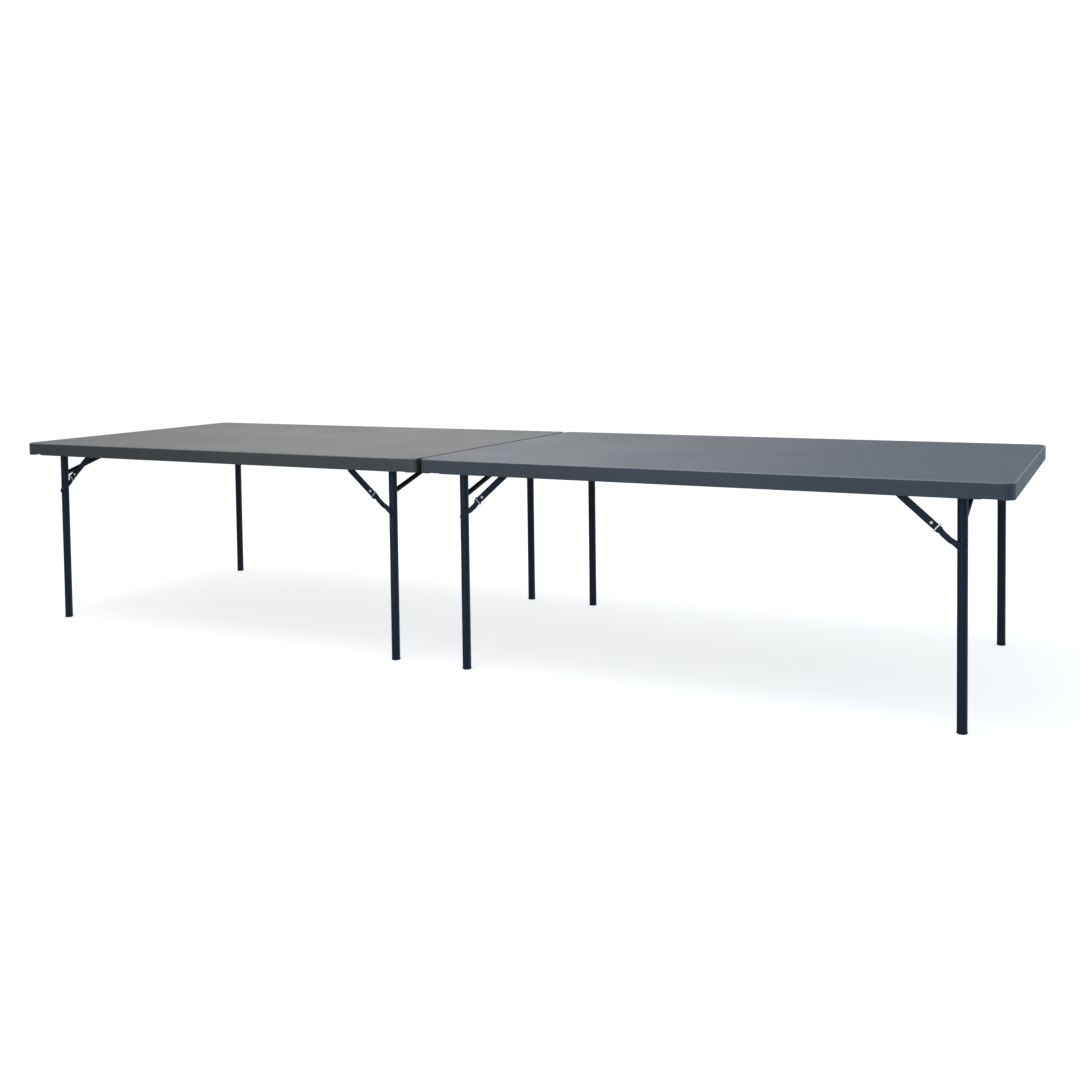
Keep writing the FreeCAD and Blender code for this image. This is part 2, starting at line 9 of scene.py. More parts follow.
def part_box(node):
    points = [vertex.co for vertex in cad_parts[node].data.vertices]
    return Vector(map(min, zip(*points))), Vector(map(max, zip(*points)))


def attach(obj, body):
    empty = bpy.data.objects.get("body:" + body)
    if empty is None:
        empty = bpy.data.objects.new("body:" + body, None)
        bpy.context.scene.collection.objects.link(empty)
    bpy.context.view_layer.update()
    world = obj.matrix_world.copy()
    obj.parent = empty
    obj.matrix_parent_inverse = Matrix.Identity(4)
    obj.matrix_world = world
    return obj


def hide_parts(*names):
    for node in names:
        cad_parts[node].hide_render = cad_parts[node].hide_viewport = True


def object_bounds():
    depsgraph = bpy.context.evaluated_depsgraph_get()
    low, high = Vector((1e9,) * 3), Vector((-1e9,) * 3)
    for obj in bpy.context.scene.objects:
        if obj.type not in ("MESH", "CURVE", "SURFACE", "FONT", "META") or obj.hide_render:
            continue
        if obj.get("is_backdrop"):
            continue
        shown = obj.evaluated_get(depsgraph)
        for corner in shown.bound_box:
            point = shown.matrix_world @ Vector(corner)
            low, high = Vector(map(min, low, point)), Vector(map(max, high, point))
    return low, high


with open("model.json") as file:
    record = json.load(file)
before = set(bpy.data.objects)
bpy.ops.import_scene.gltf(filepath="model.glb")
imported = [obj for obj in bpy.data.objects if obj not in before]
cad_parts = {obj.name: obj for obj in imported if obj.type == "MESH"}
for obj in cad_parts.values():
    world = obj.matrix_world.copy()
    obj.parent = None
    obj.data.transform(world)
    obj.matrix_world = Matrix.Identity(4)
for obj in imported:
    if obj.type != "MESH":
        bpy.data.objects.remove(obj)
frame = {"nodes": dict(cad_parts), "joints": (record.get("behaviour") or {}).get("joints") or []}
cad_low, cad_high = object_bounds()
nodes = frame["nodes"]

# ---- The two moulded tops -------------------------------------------------------------
# Each top is one hollow blow-moulded panel of high-density polyethylene with a deep skirt.
# The mould leaves a fine leathery grain, and the grain holds a little dust and rubbing.

# Both tops are the same plastic. As painted light, the left top is given a warmer grey for warmer light
# and the right top a bluer grey for cooler light.
LEFT_TOP_WARM_LIT = (0.0400, 0.0450, 0.0500)
RIGHT_TOP_COOL_LIT = (0.0340, 0.0420, 0.0550)
# Painted shade: this dark colour is laid into the gap where the two tops meet.
SEAM_PAINTED_SHADE = (0.0040, 0.0042, 0.0045)
TOP_HEIGHT = cad_high[2]
# The edge polish and its painted highlight start beyond the first distance from the seam and are full at
# the second.
POLISH_AND_HIGHLIGHT_FROM, POLISH_AND_HIGHLIGHT_FULL = 0.03, 0.10
# The painted shade in the seam lies between these depths below the top, and fades between these
# distances.
SEAM_SHADE_SHALLOW, SEAM_SHADE_DEEP = 0.0002, 0.0012
SEAM_SHADE_NEAR, SEAM_SHADE_FAR, SEAM_SHADE_COVER = 0.008, 0.012, 0.85


def new_group(name, inputs, outputs):
    """A shader node group with float or colour sockets; returns it with its two ends."""
    group = bpy.data.node_groups.new(name, "ShaderNodeTree")
    for label, start in inputs:
        kind = "NodeSocketColor" if isinstance(start, tuple) else "NodeSocketFloat"
        socket = group.interface.new_socket(name=label, in_out="INPUT", socket_type=kind)
        socket.default_value = (*start, 1.0) if isinstance(start, tuple) else start
    for label, kind in outputs:
        group.interface.new_socket(name=label, in_out="OUTPUT", socket_type=kind)
    start = group.nodes.new("NodeGroupInput")
    end = group.nodes.new("NodeGroupOutput")
    return group, start, end


def noise(tree, scale, detail=4.0, roughness=0.5, place=None):
    """A noise texture at a place, or at a scale that a link may set later."""
    node = tree.nodes.new("ShaderNodeTexNoise")
    node.inputs["Scale"].default_value = scale
    node.inputs["Detail"].default_value = detail
    node.inputs["Roughness"].default_value = roughness
    if place is not None:
        tree.links.new(place, node.inputs["Vector"])
    return node


def remap(tree, value, low, high, to_low, to_high):
    """Turn one range of values into another, held at its ends."""
    node = tree.nodes.new("ShaderNodeMapRange")
    node.clamp = True
    for label, number in (("From Min", low), ("From Max", high), ("To Min", to_low), ("To Max", to_high)):
        node.inputs[label].default_value = number
    tree.links.new(value, node.inputs["Value"])
    return node.outputs["Result"]


def math_node(tree, operation, first, second):
    """One sum on two numbers or sockets."""
    node = tree.nodes.new("ShaderNodeMath")
    node.operation = operation
    for slot, value in enumerate((first, second)):
        if isinstance(value, (int, float)):
            node.inputs[slot].default_value = value
        else:
            tree.links.new(value, node.inputs[slot])
    return node.outputs[0]


def blend_colours(tree, factor, first, second, mode="MIX"):
    """Mix two colours, each a fixed tuple or a socket."""
    node = tree.nodes.new("ShaderNodeMix")
    node.data_type = "RGBA"
    node.blend_type = mode
    if isinstance(factor, (int, float)):
        node.inputs["Factor"].default_value = factor
    else:
        tree.links.new(factor, node.inputs["Factor"])
    for socket, value in ((node.inputs[6], first), (node.inputs[7], second)):
        if isinstance(value, tuple):
            socket.default_value = (*value, 1.0)
        else:
            tree.links.new(value, socket)
    return node.outputs[2]


def object_place(tree):
    return tree.nodes.new("ShaderNodeTexCoord").outputs["Object"]


def grain_group():
    """Leathery mould grain: small rounded pebbles broken up by a finer tooth."""
    group, start, end = new_group(
        "moulded_grain", [("Pebble Scale", 900.0), ("Tooth Scale", 2600.0)],
        [("Height", "NodeSocketFloat"), ("Hollows", "NodeSocketFloat")])
    place = object_place(group)
    pebble = group.nodes.new("ShaderNodeTexVoronoi")
    pebble.feature = "SMOOTH_F1"
    pebble.inputs["Smoothness"].default_value = 0.6
    group.links.new(place, pebble.inputs["Vector"])
    group.links.new(start.outputs["Pebble Scale"], pebble.inputs["Scale"])
    tooth = noise(group, 1.0, 3.0, 0.6, place)
    group.links.new(start.outputs["Tooth Scale"], tooth.inputs["Scale"])
    domes = math_node(group, "SUBTRACT", 1.0, pebble.outputs["Distance"])
    height = math_node(group, "ADD", domes, math_node(group, "MULTIPLY", tooth.outputs["Fac"], 0.35))
    group.links.new(height, end.inputs["Height"])
    group.links.new(remap(group, domes, 0.25, 0.8, 1.0, 0.0), end.inputs["Hollows"])
    return group


def handling_group():
    """Broad faint cloudiness and drawn-out rubs, as on any surface that is wiped and carried."""
    group, start, end = new_group(
        "handling_marks", [("Cloud Scale", 2.2), ("Rub Scale", 26.0)],
        [("Clouds", "NodeSocketFloat"), ("Rubs", "NodeSocketFloat")])
    place = object_place(group)
    clouds = noise(group, 1.0, 3.0, 0.55, place)
    group.links.new(start.outputs["Cloud Scale"], clouds.inputs["Scale"])
    stretch = group.nodes.new("ShaderNodeMapping")
    stretch.inputs["Rotation"].default_value = (0.0, 0.0, 0.35)
    stretch.inputs["Scale"].default_value = (0.25, 2.4, 1.0)
    group.links.new(place, stretch.inputs["Vector"])
    rubs = noise(group, 1.0, 6.0, 0.62, stretch.outputs["Vector"])
    group.links.new(start.outputs["Rub Scale"], rubs.inputs["Scale"])
    group.links.new(clouds.outputs["Fac"], end.inputs["Clouds"])
    group.links.new(remap(group, rubs.outputs["Fac"], 0.56, 0.74, 0.0, 1.0), end.inputs["Rubs"])
    return group


def edge_group():
    """Where a surface turns from flat to upright: the rounded edge, where the colour takes a painted
    highlight and the roughness is lowered.
    """
    group, start, end = new_group(
        "polish_and_highlight_edge", [("Flat", 0.985), ("Upright", 0.30)], [("Edge", "NodeSocketFloat")])
    facing = group.nodes.new("ShaderNodeSeparateXYZ")
    group.links.new(group.nodes.new("ShaderNodeNewGeometry").outputs["Normal"], facing.inputs[0])
    up = facing.outputs["Z"]
    off_flat = group.nodes.new("ShaderNodeMapRange")
    off_flat.inputs["From Max"].default_value = 0.90
    group.links.new(start.outputs["Flat"], off_flat.inputs["From Min"])
    off_upright = group.nodes.new("ShaderNodeMapRange")
    off_upright.inputs["From Max"].default_value = 0.55
    group.links.new(start.outputs["Upright"], off_upright.inputs["From Min"])
    for node in (off_flat, off_upright):
        group.links.new(up, node.inputs["Value"])
    edge = math_node(group, "MULTIPLY", off_flat.outputs["Result"], off_upright.outputs["Result"])
    group.links.new(edge, end.inputs["Edge"])
    return group


def place_group(tree, group, **values):
    node = tree.nodes.new("ShaderNodeGroup")
    node.node_tree = group
    for label, value in values.items():
        node.inputs[label.replace("_", " ")].default_value = value
    return node


def new_material(name):
    """A material with a Principled shader; returns it, its node tree and the shader."""
    material = bpy.data.materials.new(name)
    material.use_nodes = True
    tree = material.node_tree
    return material, tree, tree.nodes["Principled BSDF"]


def add_bump(tree, shader, height, strength, distance):
    bump = tree.nodes.new("ShaderNodeBump")
    bump.inputs["Strength"].default_value = strength
    bump.inputs["Distance"].default_value = distance
    tree.links.new(height, bump.inputs["Height"])
    tree.links.new(bump.outputs["Normal"], shader.inputs["Normal"])


moulded_grain = grain_group()
handling_marks = handling_group()
polish_and_highlight_edge = edge_group()


def moulded_plastic(name, colour):
    """Grained polyethylene: cloudy and rubbed, with a painted highlight and lower roughness along its
    edges, and painted shade in the seam.
    """
    material, tree, shader = new_material(name)
    grain = place_group(tree, moulded_grain, Pebble_Scale=820.0, Tooth_Scale=2600.0)
    marks = place_group(tree, handling_marks, Cloud_Scale=2.4, Rub_Scale=22.0)
    darker = tuple(channel * 0.84 for channel in colour)
    lighter = tuple(min(1.0, channel * 1.12 + 0.002) for channel in colour)
    cloudy = blend_colours(tree, marks.outputs["Clouds"], darker, lighter)
    rubbed = blend_colours(tree, math_node(tree, "MULTIPLY", marks.outputs["Rubs"], 0.22), cloudy,
                           tuple(channel * 1.6 + 0.006 for channel in colour))
    grained = blend_colours(tree, math_node(tree, "MULTIPLY", grain.outputs["Hollows"], 0.3), rubbed,
                            tuple(channel * 0.55 for channel in colour))
    across = tree.nodes.new("ShaderNodeSeparateXYZ")
    tree.links.new(object_place(tree), across.inputs[0])
    from_seam = math_node(tree, "ABSOLUTE", across.outputs["X"], 0.0)
    polish_and_highlight_reach = remap(tree, from_seam, POLISH_AND_HIGHLIGHT_FROM, POLISH_AND_HIGHLIGHT_FULL, 0.0, 1.0)
    edge = math_node(tree, "MULTIPLY", place_group(tree, polish_and_highlight_edge).outputs["Edge"], polish_and_highlight_reach)
    # Painted highlight: the rounded outer edges are lightened in place of the overhead lamp's reflection
    # along the crest.
    edge_highlighted = blend_colours(tree, math_node(tree, "MULTIPLY", edge, 0.6), grained,
                          tuple(channel * 2.2 + 0.02 for channel in colour))
    # Painted shade: the colour darkens in the narrow gap between the two tops, and the roughness rises
    # there.
    below_top = remap(tree, across.outputs["Z"], TOP_HEIGHT - SEAM_SHADE_DEEP, TOP_HEIGHT - SEAM_SHADE_SHALLOW,
                      1.0, 0.0)
    in_seam = remap(tree, from_seam, SEAM_SHADE_NEAR, SEAM_SHADE_FAR, SEAM_SHADE_COVER, 0.0)
    seam_shade = math_node(tree, "MULTIPLY", below_top, in_seam)
    tree.links.new(blend_colours(tree, seam_shade, edge_highlighted, SEAM_PAINTED_SHADE), shader.inputs["Base Color"])
    sheen = remap(tree, marks.outputs["Clouds"], 0.3, 0.7, 0.47, 0.55)
    worn = math_node(tree, "SUBTRACT", sheen, math_node(tree, "MULTIPLY", marks.outputs["Rubs"], 0.05))
    polished = math_node(tree, "SUBTRACT", worn, math_node(tree, "MULTIPLY", edge, 0.14))
    dulled = math_node(tree, "ADD", polished, math_node(tree, "MULTIPLY", seam_shade, 0.5))
    tree.links.new(dulled, shader.inputs["Roughness"])
    shader.inputs["Specular IOR Level"].default_value = 0.45
    add_bump(tree, shader, grain.outputs["Height"], 0.22, 0.00012)
    return material


def finish_node(name, material):
    """Give a part that keeps its own shape its finish."""
    for slot in nodes[name].material_slots:
        slot.material = material


# The two tops take warm-lit and cool-lit copies of one plastic: painted light.
finish_node("left_tabletop", moulded_plastic("left_top_polyethylene_warm_lit", LEFT_TOP_WARM_LIT))
finish_node("right_tabletop", moulded_plastic("right_top_polyethylene_cool_lit", RIGHT_TOP_COOL_LIT))

# ---- The leg frames -------------------------------------------------------------------
# Round steel tubes, welded to a cross tube and two sloping struts and powder coated in a
# blue-black satin. The coat has the fine ripple of orange peel and a few pin-head specks.

FRAME_COAT = (0.0055, 0.0130, 0.0270)
# The struts take a darker, greyer copy of the frame coat as painted shade for their place under the tops.
STRUT_COAT_SHADED = (0.0040, 0.0055, 0.0080)
FRAMES = ("left_outer", "left_inner", "right_inner", "right_outer")


def coat_group():
    """Orange peel of a baked powder coat, with scattered pin-head specks."""
    group, start, end = new_group(
        "powder_coat", [("Ripple Scale", 420.0), ("Speck Scale", 260.0)],
        [("Height", "NodeSocketFloat"), ("Ripple", "NodeSocketFloat"), ("Specks", "NodeSocketFloat")])
    place = object_place(group)
    ripple = noise(group, 1.0, 2.0, 0.45, place)
    group.links.new(start.outputs["Ripple Scale"], ripple.inputs["Scale"])
    cells = group.nodes.new("ShaderNodeTexVoronoi")
    group.links.new(place, cells.inputs["Vector"])
    group.links.new(start.outputs["Speck Scale"], cells.inputs["Scale"])
    specks = remap(group, cells.outputs["Distance"], 0.06, 0.13, 1.0, 0.0)
    height = math_node(group, "ADD", ripple.outputs["Fac"], math_node(group, "MULTIPLY", specks, 0.5))
    group.links.new(height, end.inputs["Height"])
    group.links.new(ripple.outputs["Fac"], end.inputs["Ripple"])
    group.links.new(specks, end.inputs["Specks"])
    return group


powder_coat = coat_group()


def coated_steel(name, colour, roughness=0.40):
    """Satin powder coat with orange peel, specks and rubs."""
    material, tree, shader = new_material(name)
    coat = place_group(tree, powder_coat, Ripple_Scale=430.0, Speck_Scale=240.0)
    marks = place_group(tree, handling_marks, Cloud_Scale=9.0, Rub_Scale=60.0)
    toned = blend_colours(tree, marks.outputs["Clouds"], tuple(c * 0.8 for c in colour),
                          tuple(c * 1.2 for c in colour))
    specked = blend_colours(tree, math_node(tree, "MULTIPLY", coat.outputs["Specks"], 0.35), toned,
                            tuple(c * 2.0 + 0.004 for c in colour))
    rubbed = blend_colours(tree, math_node(tree, "MULTIPLY", marks.outputs["Rubs"], 0.18), specked,
                           tuple(c * 1.8 + 0.006 for c in colour))
    tree.links.new(rubbed, shader.inputs["Base Color"])
    tree.links.new(remap(tree, coat.outputs["Ripple"], 0.3, 0.7, roughness - 0.05, roughness + 0.06),
                   shader.inputs["Roughness"])
    shader.inputs["Specular IOR Level"].default_value = 0.25
    add_bump(tree, shader, coat.outputs["Height"], 0.25, 0.00015)
    return material


frame_coat = coated_steel("frame_powder_coat", FRAME_COAT)
strut_coat_shaded = coated_steel("strut_powder_coat_painted_shade", STRUT_COAT_SHADED, 0.46)
for name in FRAMES:
    for piece in ("leg_front", "leg_rear", "cross_tube", "stay_pivots"):
        finish_node(f"{name}_{piece}", frame_coat)
    finish_node(f"{name}_struts", strut_coat_shaded)

TUBE_RADIUS, CROSS_RADIUS, STRUT_RADIUS = 0.0150, 0.0100, 0.0090
STRUT_FOOT, STRUT_REACH = 0.608, 0.317
BEAD_RADIUS, BEAD_RIPPLES, BEAD_SWELL = 0.0016, 26, 0.16
BEAD_STEPS, BEAD_SIDES = 104, 8


def new_piece(name, mesh, material, body, smooth=True):
    """Make a piece of a bmesh, give it a material, and let it ride on a body."""
    data = bpy.data.meshes.new(name)
    bmesh.ops.recalc_face_normals(mesh, faces=mesh.faces)
    mesh.to_mesh(data)
    mesh.free()
    for face in data.polygons:
        face.use_smooth = smooth
    data.materials.append(material)
    piece = bpy.data.objects.new(name, data)
    bpy.context.scene.collection.objects.link(piece)
    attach(piece, body)
    return piece


def loft(mesh, rings, closed):
    """Skin a row of equal rings of points, joined end to end if it is closed, else capped."""
    rows = [[mesh.verts.new(point) for point in ring] for ring in rings]
    steps = len(rows) if closed else len(rows) - 1
    for step in range(steps):
        here, there = rows[step], rows[(step + 1) % len(rows)]
        for side in range(len(here)):
            after = (side + 1) % len(here)
            mesh.faces.new((here[side], here[after], there[after], there[side]))
    if not closed:
        mesh.faces.new(rows[0])
        mesh.faces.new(rows[-1])


def add_bead(mesh, path, outward):
    """A rippled bead along a closed path; outward gives the side that it bulges to at each point."""
    rings = []
    for step, point in enumerate(path):
        ahead = (path[(step + 1) % len(path)] - path[step - 1]).normalized()
        side = (outward[step] - ahead * outward[step].dot(ahead)).normalized()
        third = ahead.cross(side)
        swell = BEAD_RADIUS * (1 + BEAD_SWELL * math.sin(2 * math.pi * BEAD_RIPPLES * step / len(path)))
        turns = [2 * math.pi * k / BEAD_SIDES for k in range(BEAD_SIDES)]
        rings.append([point + (side * math.cos(t) + third * math.sin(t)) * swell for t in turns])
    loft(mesh, rings, True)


def add_strut_beads(mesh, leg_x, leg_y, pivot):
    """Beads where a strut's round end meets its leg and where it meets the cross tube."""
    towards = -1.0 if leg_y > 0 else 1.0
    run = Vector((0.0, towards * STRUT_REACH, pivot - STRUT_FOOT)).normalized()
    across = Vector((1.0, 0.0, 0.0))
    up = run.cross(across)
    at_leg, at_cross, outward = [], [], []
    for step in range(BEAD_STEPS):
        turn = 2 * math.pi * step / BEAD_STEPS
        spoke = across * math.cos(turn) + up * math.sin(turn)
        start = Vector((leg_x, leg_y, STRUT_FOOT)) + spoke * STRUT_RADIUS
        wide = STRUT_RADIUS * math.cos(turn)
        leg_gap = towards * math.sqrt(TUBE_RADIUS ** 2 - wide ** 2) - (start.y - leg_y)
        at_leg.append(start + run * (leg_gap / run.y))
        cross_gap = pivot - math.sqrt(CROSS_RADIUS ** 2 - wide ** 2) - start.z
        at_cross.append(start + run * (cross_gap / run.z))
        outward.append(spoke)
    add_bead(mesh, at_leg, outward)
    add_bead(mesh, at_cross, outward)


def add_cross_bead(mesh, leg_x, leg_y, pivot):
    """The bead round the cross tube where it enters the inner side of a leg."""
    towards = -1.0 if leg_y > 0 else 1.0
    path, outward = [], []
    for step in range(BEAD_STEPS):
        turn = 2 * math.pi * step / BEAD_STEPS
        spoke = Vector((math.cos(turn), 0.0, math.sin(turn)))
        depth = math.sqrt(TUBE_RADIUS ** 2 - (CROSS_RADIUS * math.cos(turn)) ** 2)
        path.append(Vector((leg_x, leg_y + towards * depth, pivot)) + spoke * CROSS_RADIUS)
        outward.append(spoke)
    add_bead(mesh, path, outward)


def middle(name):
    """The centre of a part's box."""
    low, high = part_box(name)
    return (Vector(low) + Vector(high)) / 2


for name in FRAMES:
    beads = bmesh.new()
    pivot = middle(f"{name}_cross_tube").z
    for leg in ("leg_front", "leg_rear"):
        leg_middle = middle(f"{name}_{leg}")
        add_strut_beads(beads, leg_middle.x, leg_middle.y, pivot)
        add_cross_bead(beads, leg_middle.x, leg_middle.y, pivot)
    new_piece(f"{name}_weld_beads", beads, frame_coat, f"{name}_frame")

# ---- The leg rivets -------------------------------------------------------------------
# Steel rivets coated with the frame, each through the outer wall of a leg and a lower link.
# The set head has a square rim, a rounded shoulder and the shallow dimple of the setting tool.

RIVET_SIDES = 40
# Distance in from the crown of the head, and radius there.
LEG_RIVET = ((0.0111, 0.0002), (0.0111, 0.0046), (0.0107, 0.0050), (0.0091, 0.0050), (0.0091, 0.0030),
             (0.0018, 0.0030), (0.0018, 0.0064), (0.0017, 0.0065), (0.0011, 0.0065), (0.0008, 0.0063),
             (0.0005, 0.0059), (0.0002, 0.0051), (0.0000, 0.0040), (0.0000, 0.0033), (0.0001, 0.0030),
             (0.0005, 0.0023), (0.0007, 0.0013), (0.0007, 0.0002))


def turned_pair(node, profile):
    """Two rivets turned on the lathe, mirror images, with their crowns at the two ends of a node."""
    low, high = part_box(node)
    centre = middle(node)
    mesh = bmesh.new()
    for crown, inward in ((low[1], 1.0), (high[1], -1.0)):
        rings = []
        for depth, radius in profile:
            hub = Vector((centre.x, crown + inward * depth, centre.z))
            turns = [2 * math.pi * k / RIVET_SIDES for k in range(RIVET_SIDES)]
            rings.append([hub + Vector((math.cos(t), 0.0, math.sin(t))) * radius for t in turns])
        loft(mesh, rings, False)
    return mesh


for name in FRAMES:
    rivets = new_piece(f"{name}_set_leg_rivets", turned_pair(f"{name}_leg_rivets", LEG_RIVET),
                       frame_coat, f"{name}_frame")
    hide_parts(f"{name}_leg_rivets")

# ---- The foot caps --------------------------------------------------------------------
# Soft black polyethylene plugs pushed into the tube ends, each with a flange that closes the
# tube and stands on the floor. They are matt, and scuffed grey where they touch it.

CAP_BLACK, CAP_SCUFF = (0.0070, 0.0075, 0.0080), (0.060, 0.059, 0.057)
SCUFF_HEIGHT = 0.005


def cap_plastic():
    """Matt black plastic, scuffed where it is close to the floor."""
    material, tree, shader = new_material("foot_cap_plastic")
    grain = place_group(tree, moulded_grain, Pebble_Scale=1500.0, Tooth_Scale=4200.0)
    place = tree.nodes.new("ShaderNodeSeparateXYZ")
    tree.links.new(object_place(tree), place.inputs[0])
    low = remap(tree, place.outputs["Z"], 0.0, SCUFF_HEIGHT, 1.0, 0.0)
    scuff = noise(tree, 340.0, 6.0, 0.7, object_place(tree))
    mask = math_node(tree, "MULTIPLY", low, remap(tree, scuff.outputs["Fac"], 0.42, 0.62, 0.0, 0.8))
    tree.links.new(blend_colours(tree, mask, CAP_BLACK, CAP_SCUFF), shader.inputs["Base Color"])
    tree.links.new(remap(tree, mask, 0.0, 1.0, 0.52, 0.75), shader.inputs["Roughness"])
    add_bump(tree, shader, grain.outputs["Height"], 0.2, 0.00012)
    return material


foot_cap_plastic = cap_plastic()
for name in FRAMES:
    finish_node(f"{name}_foot_caps", foot_cap_plastic)

# ---- The folding stays ----------------------------------------------------------------
# Pressed steel links, coated like the frames: a flat bar below and a shallow channel above.
# They turn on the leg rivets, on the elbow rivets and on pins in the rails.

STAY_COAT = (0.0050, 0.0120, 0.0250)
stay_coat = coated_steel("stay_powder_coat", STAY_COAT, 0.44)
for name in FRAMES:
    for piece in ("lower_links", "upper_links"):
        finish_node(f"{name}_{piece}", stay_coat)

# ---- The lock rings and elbow rivets --------------------------------------------------
# A flat steel band bent into a long loop, and a domed rivet, both bright zinc plated. The
# plate shows fine drawn lines along the band and soft grey clouding between them.

ZINC = (0.90, 0.92, 0.93)


def plated_zinc(name, colour):
    """Bright plated metal with fine drawn lines and soft clouding."""
    material, tree, shader = new_material(name)
    place = object_place(tree)
    stretch = tree.nodes.new("ShaderNodeMapping")
    stretch.inputs["Scale"].default_value = (1.0, 1.0, 0.06)
    tree.links.new(place, stretch.inputs["Vector"])
    drawn = noise(tree, 2600.0, 3.0, 0.6, stretch.outputs["Vector"])
    cloud = noise(tree, 240.0, 3.0, 0.5, place)
    tree.links.new(blend_colours(tree, cloud.outputs["Fac"], tuple(c * 0.8 for c in colour), colour),
                   shader.inputs["Base Color"])
    tree.links.new(remap(tree, drawn.outputs["Fac"], 0.3, 0.7, 0.22, 0.36), shader.inputs["Roughness"])
    shader.inputs["Metallic"].default_value = 1.0
    add_bump(tree, shader, drawn.outputs["Fac"], 0.12, 0.00008)
    return material


bright_zinc = plated_zinc("bright_zinc", ZINC)
RING_TALL, BAND_WIDTH, BAND_THICK = 0.0310, 0.0040, 0.0013
BEND_RADIUS, BEND_STEPS, EDGE_STEPS = 0.0026, 8, 6
# Distance in from the crown of the dome, and radius there. The setting tool rolled its end over.
ELBOW_RIVET = ((0.0042, 0.0002), (0.0042, 0.0040), (0.0022, 0.0040), (0.0022, 0.0055), (0.0016, 0.0055),
               (0.0012, 0.0054), (0.0008, 0.0051), (0.0004, 0.0045), (0.0001, 0.0036), (0.0000, 0.0029),
               (0.0001, 0.0024), (0.0004, 0.0020), (0.0009, 0.0018), (0.0014, 0.0016), (0.0016, 0.0010),
               (0.0016, 0.0002))


def band_section(width, thick):
    """The rounded outline of a flat band: offsets along its width and its thickness."""
    flat = (width - thick) / 2
    turns = [math.pi * k / EDGE_STEPS - math.pi / 2 for k in range(EDGE_STEPS + 1)]
    half_round = [(flat + math.cos(t) * thick / 2, math.sin(t) * thick / 2) for t in turns]
    return half_round + [(-along, -depth) for along, depth in half_round]


def bent_ring(node, lengthwise):
    """A closed loop of flat band with bent corners, in the space that the ring's node holds."""
    low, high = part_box(node)
    slope = Vector(lengthwise).normalized()
    tall = Vector((-slope.z, 0.0, slope.x))
    depth = Vector((0.0, 1.0, 0.0))
    half_tall = (RING_TALL - BAND_THICK) / 2 - BEND_RADIUS
    half_deep = (high[1] - low[1] - BAND_THICK) / 2 - BEND_RADIUS
    rings = []
    for quarter, (out, up) in enumerate(((1, 1), (-1, 1), (-1, -1), (1, -1))):
        hub = middle(node) + tall * (up * half_tall) + depth * (out * half_deep)
        for step in range(BEND_STEPS + 1):
            turn = math.pi / 2 * (quarter + step / BEND_STEPS)
            spoke = depth * math.cos(turn) + tall * math.sin(turn)
            rings.append([hub + slope * along + spoke * (BEND_RADIUS + rise)
                          for along, rise in band_section(BAND_WIDTH, BAND_THICK)])
    mesh = bmesh.new()
    loft(mesh, rings, True)
    return mesh


for name in FRAMES:
    rivets = new_piece(f"{name}_set_elbow_rivets", turned_pair(f"{name}_elbow_rivets", ELBOW_RIVET),
                       bright_zinc, f"{name}_upper_stays")
    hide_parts(f"{name}_elbow_rivets")
    for face in ("front", "rear"):
        node = f"{name}_ring_{face}"
        slide = next(joint for joint in frame["joints"] if joint["name"] == f"{node}_slide")
        ring = new_piece(f"{name}_bent_ring_{face}", bent_ring(node, slide["axis"]), bright_zinc,
                         node)
        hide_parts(node)

# ---- Rails, screws and seam clips -----------------------------------------------------
# Under each top two folded steel angles carry the pivots. Pan-head screws hold them, and
# spring-steel clips over the skirts hold the two tops in line.

RAIL_COAT = (0.0070, 0.0080, 0.0100)
SCREW_PLATE = (0.46, 0.46, 0.45)
CLIP_STEEL = (0.30, 0.31, 0.33)
rail_coat = coated_steel("rail_powder_coat", RAIL_COAT, 0.46)
screw_plate = plated_zinc("screw_plate", SCREW_PLATE)
clip_steel = plated_zinc("clip_spring_steel", CLIP_STEEL)
for section in ("left", "right"):
    finish_node(f"{section}_rail_front", rail_coat)
    finish_node(f"{section}_rail_rear", rail_coat)
    finish_node(f"{section}_rail_screws", screw_plate)
finish_node("seam_clips", clip_steel)

# ---- Floor, light and camera ----------------------------------------------------------
# A plain pale studio floor under a sky that shows white. For the light that it gives, it is
# bright behind, where the tops mirror it at a low angle, and dimmer in front.

FLOOR_SIZE = 120.0
FLOOR_PAINT = (0.35, 0.35, 0.35, 1.0)
FLOOR_GLOW = 0.72
FRONT_GLOW = 0.34
FRONT_FLOOR_GLOW = 0.40
RIGHT_CARD_GLOW = 0.95
ZENITH_GLOW = 1.15
WARM_SKY, COOL_SKY = (1.0, 0.98, 0.955), (0.82, 0.92, 1.0)
floor_mesh = bpy.data.meshes.new("studio_floor")
half = FLOOR_SIZE / 2
floor_mesh.from_pydata([(-half, -half, 0), (half, -half, 0), (half, half, 0), (-half, half, 0)], [],
                       [(0, 1, 2, 3)])
floor = bpy.data.objects.new("studio_floor", floor_mesh)
bpy.context.scene.collection.objects.link(floor)
floor_paint, floor_tree, floor_shader = new_material("studio_floor_paint")
floor_shader.inputs["Base Color"].default_value = FLOOR_PAINT
floor_shader.inputs["Roughness"].default_value = 0.9
floor_shader.inputs["Specular IOR Level"].default_value = 0.0
floor_shader.inputs["Emission Color"].default_value = (1.0, 1.0, 1.0, 1.0)
floor_seen = floor_tree.nodes.new("ShaderNodeLightPath").outputs["Is Camera Ray"]
floor_tree.links.new(math_node(floor_tree, "MULTIPLY", floor_seen, FLOOR_GLOW),
                     floor_shader.inputs["Emission Strength"])
floor_mesh.materials.append(floor_paint)
floor.visible_glossy = False
